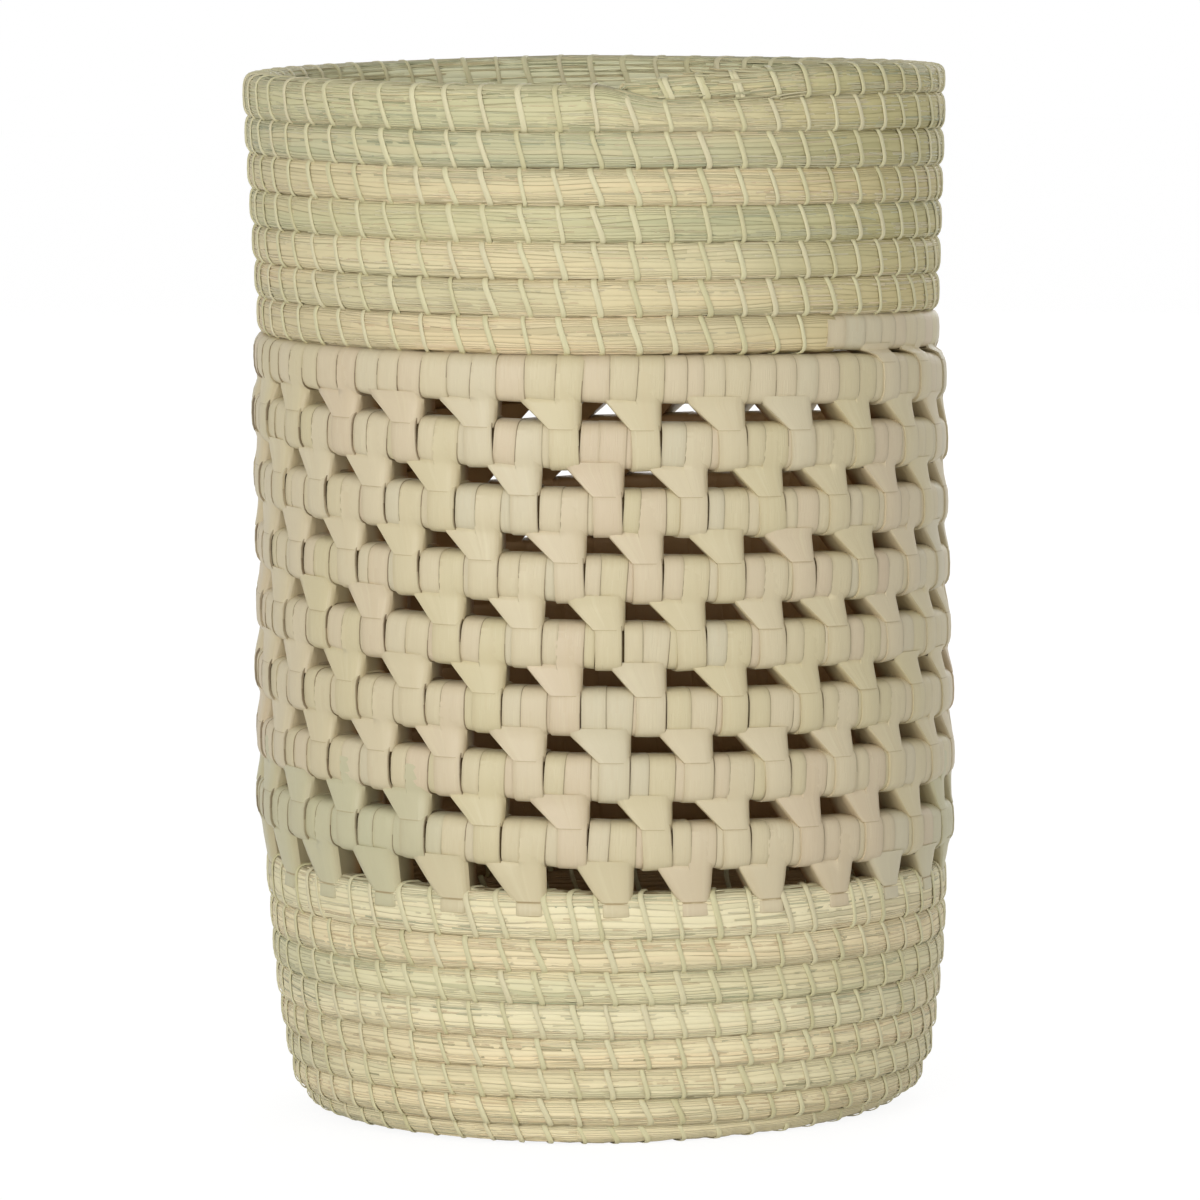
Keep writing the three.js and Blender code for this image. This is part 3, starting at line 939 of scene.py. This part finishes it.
# The shade of each point round a collar (five of the flap, five of the root, four behind), and the
# levels that are darker because they meet the row below
SIDE_SHADES = [0.25, 0.06, 0.0, 0.0, 0.0, 0.0, 0.0, 0.06, 0.22, 0.4, 0.5, 0.5, 0.5, 0.5]
CREASE_SHADE = 0.8
CREASED_LEVELS = (9, 10)

# The levels of a collar on the row above: height as a share of half the row's height, how far the flap
# stands out, and how far the root does
PLAIN_TOP = [(0.6, BURIED, 0.2 * MM), (0.15, BURIED, 0.3 * MM), (-0.35, BURIED, 0.32 * MM),
             (-0.7, BURIED, 0.4 * MM), (-0.8, 0.1 * MM, 0.6 * MM)]
FOLDED_TOP = [(0.6, BURIED, BURIED), (0.15, BURIED, BURIED), (-0.35, BURIED, BURIED),
              (-0.64, BURIED, BURIED), (-0.66, 0.55 * MM, 0.55 * MM)]

# Its levels in the gap: share of the way down, height on the row below, and share of that row's place
GAP_LEVELS = [(0.12, 1, 0.0), (0.42, 1, 0.5), (0.74, 0.98, 1.0), (0.97, 0.7, 1.0), (1.0, 0.66, 1.0)]

# Its levels on the row below: height, how far it has narrowed, and how far it stands out
GRASS_ENDS = [(0.62, 0.6, 0.05 * MM), (0.57, 0.7, 0.3 * MM), (0.06, 1.0, 0.3 * MM), (0.0, 1.0, -0.1 * MM)]
WRAPPED_ENDS = [(0.63, 0.5, BURIED / 2)]

# Where a collar meets the row below: the height, how far it stands out from grass and from wraps, and its
# two sides. Then how far its front and back are sunk in the row above
JOIN_HEIGHT = 0.62
JOIN_ON_GRASS = 0.3 * MM
JOIN_ON_WRAPS = STRAP_RISE + 0.35 * MM
JOIN_LEFT = STRAP_WIDTH / 2 + 0.1 * MM
JOIN_RIGHT = -STRAP_WIDTH / 2 - 0.4 * MM
FRONT_SINK = 0.75 * MM
BACK_SINK = 1.2 * MM


def across_collar(rounding, start, end, front, fall=1.0):
    """Points (side, out) from the start to the end, falling back from the front as the rounding says."""
    return [(start + (end - start) * share, front - fall * drop) for share, drop in rounding]


def collar_levels(knot):
    """A collar from the row above to the row below: points round it, level by level."""
    above, below = knot.turn, knot.turn - 1
    on_grass = below < WALL_TURN
    corner = GRASS_CORNER if on_grass else WRAPPED_CORNER
    split = ROOT_WIDTH / 2 - ROOT_SHIFT
    right = -ROOT_WIDTH / 2 - ROOT_SHIFT
    left = STRAP_WIDTH / 2 + knot.flare
    levels = []

    def add_level(outline, rise_above, rise_below, passed):
        level = []
        for side, out in outline:
            at = beside(above, side)
            upper = point_at(at, out, rise_above * bundle_height(above) / 2)
            lower = point_at(at - 1, out, rise_below * bundle_height(below) / 2)
            level.append(upper.lerp(lower, passed))
        levels.append(level)

    for rise, flap_out, root_out in FOLDED_TOP if knot.folded else PLAIN_TOP:
        surface = front_of(above, rise, WRAPPED_CORNER)
        shown = flap_out != BURIED
        flap = across_collar(FLAP_ROUNDING, left if shown else split, split, surface + flap_out, float(shown))
        root = across_collar(ROOT_ROUNDING, split, right, surface + root_out, FLAT_ROUNDING)
        rear = [(right, surface + BURIED), (right, 0.0), (split, 0.0), (split, surface + BURIED)]
        add_level(flap + root + rear, rise, 1, 0)

    front_above = bundle_depth(above) / 2 - FRONT_SINK
    front_below = front_of(below, JOIN_HEIGHT, corner) + (JOIN_ON_GRASS if on_grass else JOIN_ON_WRAPS)
    back = -(bundle_depth(above) / 2 - BACK_SINK)
    for descent, rise, passed in GAP_LEVELS:
        edge_left = left + (JOIN_LEFT - left) * descent
        edge_right = right + (JOIN_RIGHT - right) * descent ** 2
        middle = split - split * descent
        front = front_above + (front_below - front_above) * descent ** 1.5
        flap = across_collar(FLAP_ROUNDING, edge_left, middle, front)
        root = across_collar(ROOT_ROUNDING, middle, edge_right, front)
        rear = [(edge_right + 0.5 * MM, 0.3 * front), (edge_right + 1.6 * MM, back),
                (edge_left - 2.2 * MM, back), (edge_left - 0.8 * MM, 0.3 * front)]
        add_level(flap + root + rear, -1, rise, passed)

    goal_left = FOOT_WIDTH / 2 if on_grass else JOIN_LEFT
    goal_right = -FOOT_WIDTH / 2 if on_grass else JOIN_RIGHT
    for rise, narrowing, out in GRASS_ENDS if on_grass else WRAPPED_ENDS:
        surface = front_of(below, rise, corner)
        edge_left = JOIN_LEFT + (goal_left - JOIN_LEFT) * narrowing
        edge_right = JOIN_RIGHT + (goal_right - JOIN_RIGHT) * narrowing
        flap = across_collar(FLAP_ROUNDING, edge_left, 0.0, surface + out, FLAT_ROUNDING)
        root = across_collar(ROOT_ROUNDING, 0.0, edge_right, surface + out, FLAT_ROUNDING)
        rear = [(edge_right, surface + BURIED), (0.0, 0.0), (0.0, 0.0), (edge_left, surface + BURIED)]
        add_level(flap + root + rear, -1, rise, 1)
    return levels


def collar_mesh(name, knots):
    """The collars that bridge the open gaps, each from its root to the strap or foot below it."""
    vertices, faces, uvs, tones, greens, shades = [], [], [], [], [], []
    for knot in knots:
        levels = collar_levels(knot)
        sides = len(levels[0])
        start = len(vertices)
        last = len(levels) - 1
        for number, level in enumerate(levels):
            vertices += level
            crease = CREASE_SHADE if number in (*CREASED_LEVELS, last) else 0.0
            shades += [min(shade + crease, 1.0) for shade in SIDE_SHADES]
        for down in range(last):
            for i in range(sides):
                a, b = start + down * sides + i, start + down * sides + (i + 1) % sides
                faces.append((a, a + sides, b + sides, b))
                for step, level in ((i, down), (i, down + 1), (i + 1, down + 1), (i + 1, down)):
                    uvs.append((level * 1.6 * MM, 0.12 + 0.8 * step / sides))
        for level, order in ((0, 1), (last, -1)):
            faces.append(tuple(start + level * sides + i for i in range(sides))[::order])
            uvs += [(0.0, 0.5)] * sides
        tones += [knot.tone] * (len(vertices) - start)
        on_grass = knot.turn - 1 < WALL_TURN
        greens += [green_at(knot.turn if on_grass else knot.turn - 1)] * (len(vertices) - start)
    mesh = with_attributes(name, vertices, [], faces, {"tone": tones, "green": greens, "shade": shades})
    finish_strip(mesh, uvs, 50)
    return mesh


def add_mesh(name, mesh, material):
    piece = bpy.data.objects.new(name, mesh)
    bpy.context.collection.objects.link(piece)
    mesh.materials.append(material)
    return piece


def stitch_places(random):
    """Places of the sewing strips, in the base and first row, the lower wall and the upper wall."""
    def stitch(turn):
        extra = along(STITCH_RISES, turn - TOP_TURN)
        return beside(turn, random.uniform(-0.5, 0.5) * MM), STITCH_WIDTH, extra, random.random()

    base, turn = [], EYE_TURN + FIRST_STITCH
    while turn < -0.01:
        base.append(stitch(turn))
        turn = beside(turn, STITCH_SPACING)
    walls = []
    for start, end in ((0.0, 1.0), (1.01, WALL_TURN), (GRASS_TURN, TOP_TURN - 0.012)):
        first = math.ceil(start * STITCHES_PER_TURN)
        last = math.floor(end * STITCHES_PER_TURN)
        walls.append([stitch(step / STITCHES_PER_TURN) for step in range(first, last + 1)])
    walls[2] += [stitch(TOP_TURN - before) for before in TAIL_STITCHES]
    return [base + walls[0], *walls[1:]]


def build_grass(sweep, fibre, straws):
    lower_grass = grass_material(fibre, straws, "dried grass, lower", LOWER_GRASS, LOWER_WALL_PAINTED_LIGHT)
    upper_grass = grass_material(fibre, straws, "dried grass, upper", UPPER_GRASS, UPPER_WALL_PAINTED_LIGHT)
    parts = {
        "base_spiral": ("grass_base", EYE_TURN, 0.02, lower_grass, BASE_SWELL),
        "lower_wall": ("grass_lower_wall", 0.0, WALL_TURN + 0.01, lower_grass, 0.0),
        "upper_wall": ("grass_upper_wall", GRASS_TURN - 0.01, TOP_TURN, upper_grass, 0.0),
    }
    for solid, (name, start, end, material, thicker) in parts.items():
        path = path_mesh(name, start, end, 120, thicker=thicker, taller=GRASS_SWELL - thicker)
        piece = grow(name, path, sweep, {
            "Rings": round((end - start) * 240) + 1, "Sides": 24, "Relief": 0.9 * MM, "Relief scale": 55.0,
            "Pinch": 0.25 * MM, "Stitches per turn": float(STITCHES_PER_TURN), "Material": material,
        })
        finish_piece(piece, "grass", solid)


def build_core(sweep):
    openwork = [f"openwork_row_{row}" for row in range(1, 10)]
    start, end = WALL_TURN - 0.01, GRASS_TURN + 0.01
    path = path_mesh("wrapped_bundle", start, end, 96, WRAPPED_CORNER, thicker=-CORE_SINK)
    piece = grow("wrapped_bundle", path, sweep, {
        "Rings": round((GRASS_TURN - WALL_TURN) * 96), "Sides": 20, "Relief": 0.3 * MM, "Relief scale": 60.0,
        "Pinch": 0.0, "Stitches per turn": 0.0, "Material": core_material(),
    })
    finish_piece(piece, "palm", *openwork)


def build_bands(name, slot, bands, mesh, shape, material, lean, lean_variation, width_variation, seed):
    piece = grow(name, mesh, bands, {
        "Band": shape, "Lean": lean, "Lean variation": lean_variation, "Width variation": width_variation,
        "Seed": seed, "Material": material,
    })
    finish_piece(piece, slot)


def build_strips(bands, fibre, knots, random):
    palm = palm_material(fibre)
    flat_strip = [(-0.5, -0.05), (0.5, -0.05), (0.5, 0.0), (0.0, 0.02), (-0.47, 0.034), (-0.5, 0.02)]
    shape = band_shape("wrap_shape", flat_strip, WRAPPED_CORNER)
    wraps = places_mesh("palm_wraps", strip_places(knots, random))
    build_bands("palm_wraps", "palm", bands, wraps, shape, palm, -0.06, 0.04, 0.0, 11)

    strap = [(-0.5, -0.08), (0.5, -0.08), (0.5, 0.0), (0.46, 0.018), (0.0, 0.03), (-0.46, 0.018), (-0.5, 0.0)]
    shape = band_shape("strap_shape", strap, WRAPPED_CORNER)
    straps = [(knot.turn - 1, STRAP_WIDTH + random.uniform(-0.5, 0.7) * MM,
               STRAP_RISE + random.uniform(-0.1, 0.15) * MM, knot.tone)
              for knot in knots if knot.turn - 1 > WALL_TURN]
    straps = places_mesh("palm_straps", straps)
    build_bands("palm_straps", "palm", bands, straps, shape, palm, 0.0, 0.04, 0.04, 12)

    finish_piece(add_mesh("palm_collars", collar_mesh("palm_collars", knots), palm), "palm")


def clear_of_feet(place, knots):
    """The place of a sewing strip, moved off the foot of a knot that would lie under it."""
    turn, *rest = place
    foot = min((knot.turn - 1 for knot in knots), key=lambda foot: abs(foot - turn))
    away = (turn - foot) * 2 * math.pi * middle_radius(turn)
    if foot < WALL_TURN and abs(away) < FOOT_CLEAR:
        turn = beside(foot, math.copysign(FOOT_CLEAR, away))
    return turn, *rest


def build_stitches(bands, fibre, knots, random):
    rib = [(-0.5, -0.03), (0.5, -0.03), (0.5, 0.0), (0.3, 0.036), (-0.3, 0.036), (-0.5, 0.0)]
    material = stitch_material(fibre)
    names = ("stitches_base", "stitches_lower_wall", "stitches_upper_wall")
    for seed, (name, places) in enumerate(zip(names, stitch_places(random))):
        places = [clear_of_feet(place, knots) for place in places]
        stitches = places_mesh(name, places, GRASS_SWELL)
        shape = band_shape(name + "_shape", rib, GRASS_CORNER if seed else STITCH_CORNER, STITCH_TWIST)
        build_bands(name, "grass", bands, stitches, shape, material, 0.0, 0.09, 0.2, 20 + seed)


def build_stems(stems):
    """Stems by name: start, end, number, spread, how loose, their length, and where on the path they are."""
    material = stem_material()
    parts = {
        "stems_lower_wall": (0.0, WALL_TURN, 1700, 1.35, 0.0, 0.055, 0.0, 1.0),
        "stems_upper_wall": (GRASS_TURN, TOP_TURN, 1700, 1.35, 0.0, 0.055, 0.0, 1.0),
        "stems_rim": (TOP_TURN - 1.2, TOP_TURN, 1300, math.pi, 0.0, 0.055, 0.0, 1.0),
        "stems_tail": (TOP_TURN - 0.12, TOP_TURN, 130, 1.7, 2.0 * MM, 0.03, 0.1, 0.85),
    }
    for seed, (name, (start, end, count, spread, loose, length, low, high)) in enumerate(parts.items()):
        path = path_mesh(name, start, end, 60, taller=GRASS_SWELL)
        piece = grow(name, path, stems, {
            "Count": count, "Length": length, "Thickness": 0.6 * MM, "Lift": -0.05 * MM, "Loose ends": loose,
            "Spread": spread, "From": low, "To": high, "Seed": 40 + seed, "Material": material,
        })
        finish_piece(piece, "grass")


def build():
    random = np.random.default_rng(7)
    fibre = streaks_group()
    sweep, bands, stems = bundle_tree(), band_tree(), stem_tree()
    build_grass(sweep, fibre, straws_group())
    build_core(sweep)
    knots = make_knots(random)
    build_strips(bands, fibre, knots, random)
    build_stitches(bands, fibre, knots, random)
    build_stems(stems)


# The stage: the floor, the even light from below and from above, and what the lights point at
FLOOR_REACH = 6.0
FLOOR_GLOW = 0.9
FLOOR_SHADOW = 0.16
WORLD_STRENGTHS = (0.6, 0.275)
LIT_PLACE = (0, 0, 0.1)


def blend(share, low, high):
    """The low value where the share is 0, the high one where it is 1."""
    return node(tree_of(share), "ShaderNodeMapRange", share, 0.0, 1.0, low, high).outputs[0]


def seen_directly(tree):
    """1 for what the camera, a reflection or glass sees, 0 for the light that the scene gives."""
    rays = node(tree, "ShaderNodeLightPath").outputs
    seen = maths("MAXIMUM", rays["Is Camera Ray"], rays["Is Glossy Ray"])
    return maths("MAXIMUM", seen, rays["Is Transmission Ray"])


def stage_material():
    """A pale floor. Seen by the camera it glows nearly white, and keeps a little of its shadows."""
    material, tree, shader = new_material("pale floor", 0.9, 0.1)
    seen = seen_directly(tree)
    feed(shader.inputs["Base Color"], blend(seen, 0.9, FLOOR_SHADOW))
    feed(shader.inputs["Emission Color"], (1, 1, 1, 1))
    feed(shader.inputs["Emission Strength"], times(seen, FLOOR_GLOW))
    return material


def build_floor():
    mesh = bpy.data.meshes.new("floor")
    corners = [(x * FLOOR_REACH, y * FLOOR_REACH, 0) for x, y in ((-1, -1), (1, -1), (1, 1), (-1, 1))]
    mesh.from_pydata(corners, [], [(0, 1, 2, 3)])
    floor = add_mesh("floor", mesh, stage_material())


def build_world():
    """Light from all sides, weaker from above. Seen directly it is white."""
    world = bpy.data.worlds.new("studio")
    bpy.context.scene.world = world
    world.use_nodes = True
    tree = world.node_tree
    way = node(tree, "ShaderNodeTexCoord").outputs["Generated"]
    level = blend(parts_of(way)[2], *WORLD_STRENGTHS)
    back = tree.nodes["Background"].inputs
    feed(back["Color"], (1, 1, 1, 1))
    feed(back["Strength"], blend(seen_directly(tree), level, 1.0))


def add_light(name, place, size, power):
    data = bpy.data.lights.new(name, "AREA")
    data.size = size
    data.energy = power
    light = bpy.data.objects.new(name, data)
    light.location = place
    light.rotation_euler = (Vector(LIT_PLACE) - Vector(place)).to_track_quat("-Z", "Y").to_euler()
    bpy.context.collection.objects.link(light)


# The camera, as fitted to the ellipses of the photograph's rim and foot
CAMERA_DISTANCE = 2.85
CAMERA_HEIGHT = 0.449
AIM_HEIGHT = 0.1562
AIM_LEFT = -0.0009
FRAME_WIDTH = 0.3728
SENSOR_WIDTH = 36.0
LEAN = math.radians(1.0)


def build_camera():
    data = bpy.data.cameras.new("camera")
    data.sensor_width = SENSOR_WIDTH
    camera = bpy.data.objects.new("camera", data)
    place = Vector((AIM_LEFT, -CAMERA_DISTANCE, CAMERA_HEIGHT))
    aim = Vector((AIM_LEFT, 0, AIM_HEIGHT))
    sight = aim - place
    data.lens = SENSOR_WIDTH * sight.length / FRAME_WIDTH
    turned = sight.to_track_quat("-Z", "Y").to_matrix().to_4x4()
    roll = turned.Rotation(-LEAN, 4, "Z")
    camera.matrix_world = turned.Translation(place) @ turned @ roll
    bpy.context.collection.objects.link(camera)
    bpy.context.scene.camera = camera


build()
build_floor()
build_world()
add_light("key", (-1.2, -2.6, 0.62), 1.5, 46)
add_light("fill", (1.8, -2.3, 0.5), 1.6, 18)
add_light("back", (0.9, 2.8, 1.1), 1.6, 16)
build_camera()
bpy.context.scene.view_settings.view_transform = "Standard"
